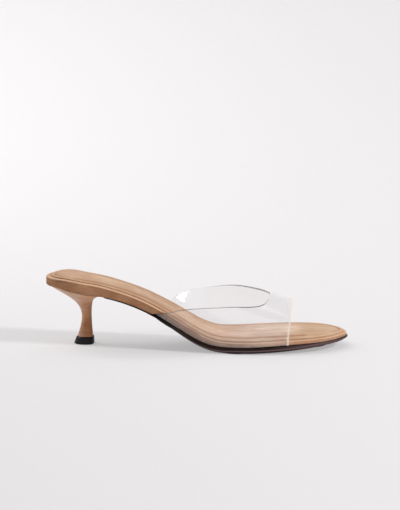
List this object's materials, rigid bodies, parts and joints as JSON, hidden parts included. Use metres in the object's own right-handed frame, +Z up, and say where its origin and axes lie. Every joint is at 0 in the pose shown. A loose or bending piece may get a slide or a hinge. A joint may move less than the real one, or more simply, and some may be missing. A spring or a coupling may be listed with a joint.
{
  "type": "kitten heel mule",
  "caption": "Open-toe kitten heel mule for the right foot: clear band over the forefoot, padded suede-covered footbed with an arched shank, dark sole and a small flared heel.",
  "frame": {"origin": "on the floor, under the middle of the shoe's length and of its width", "axes": "+X towards the toe, +Y towards the inner (big toe) side of the foot, +Z up"},
  "size_m": [0.25, 0.0778, 0.0593],
  "materials": {
    "dark_sole": "dark brown sole leather with a polished edge",
    "footbed_cover": "tan suede wrapped over the board",
    "sock_suede": "light tan suede over a thin pad",
    "clear_band": "clear flexible sheet, glossy",
    "heel_cover": "tan suede wrapped over the heel",
    "tip_rubber": "black rubber"
  },
  "bodies": {
    "root": {"outsole": "dark_sole", "footbed": "footbed_cover", "sock": "sock_suede", "band": "clear_band", "heel": "heel_cover", "heel_tip": "tip_rubber"}
  },
  "joints": []
}
